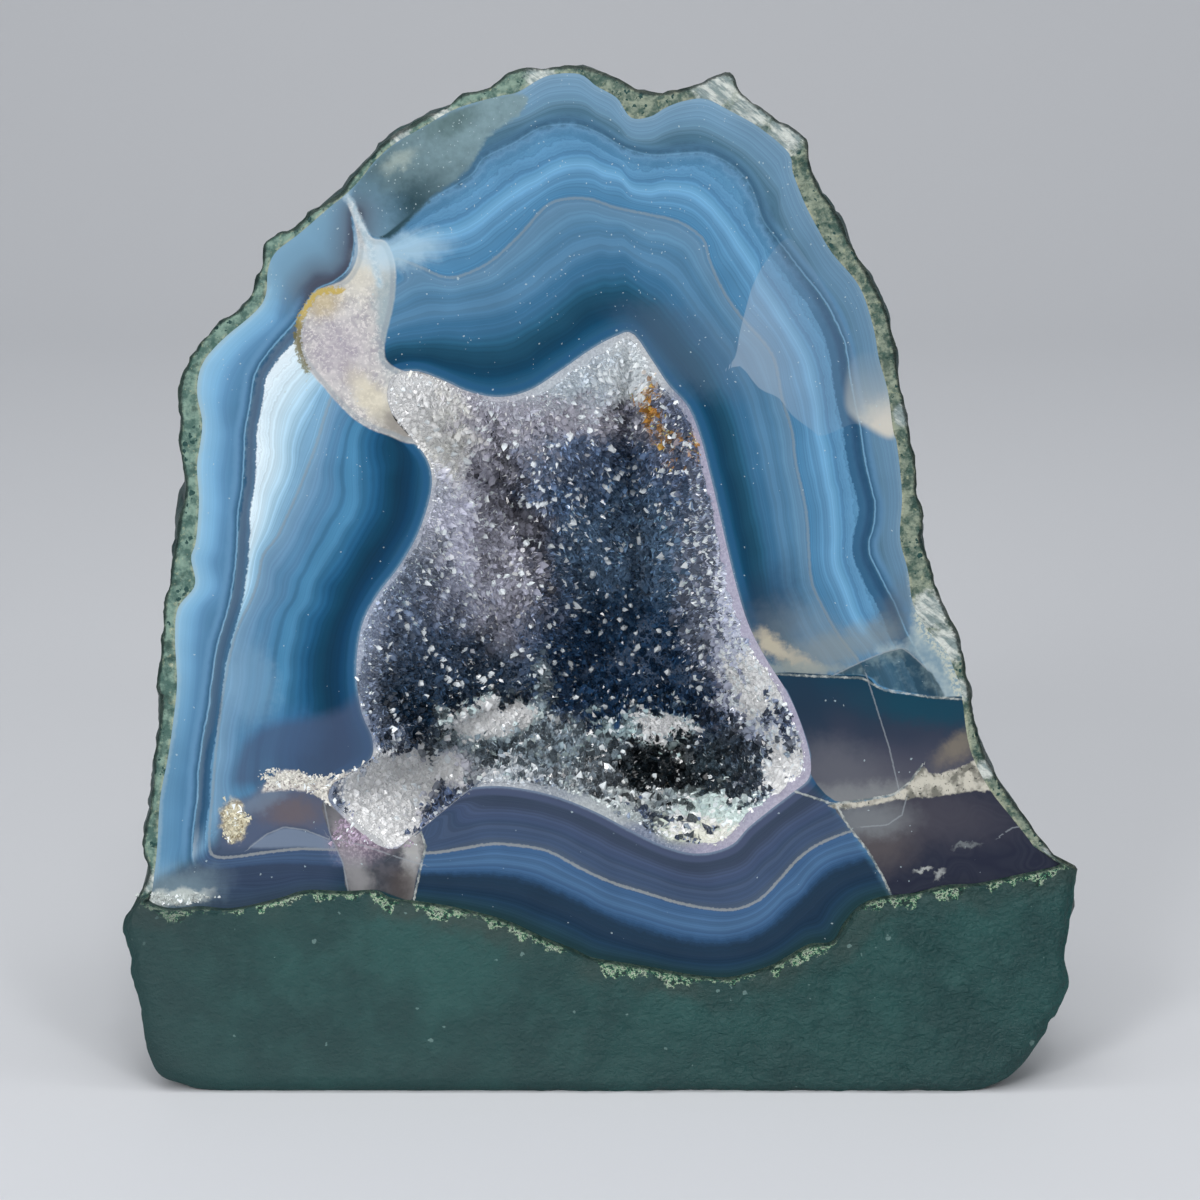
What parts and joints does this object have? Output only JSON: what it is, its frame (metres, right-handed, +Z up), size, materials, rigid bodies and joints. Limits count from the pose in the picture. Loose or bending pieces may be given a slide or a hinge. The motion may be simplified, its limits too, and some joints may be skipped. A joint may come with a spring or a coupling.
{
  "type": "cut base amethyst agate geode",
  "caption": "Upright cut-base geode with a polished banded agate face around a hollow lined with amethyst crystals, on a flat painted basalt foot.",
  "frame": {"origin": "on the flat sawn underside, at the middle of the foot, halfway between its front and rear edges", "axes": "+Z up, -Y out of the polished face (which leans back by 12 degrees), +X to the viewer's right as the face is seen"},
  "size_m": [0.1894, 0.1171, 0.1993],
  "materials": {
    "stone": "polished",
    "amethyst": "polished"
  },
  "bodies": {
    "root": {"geode_stone": "stone", "amethyst_crust": "amethyst"}
  },
  "joints": []
}
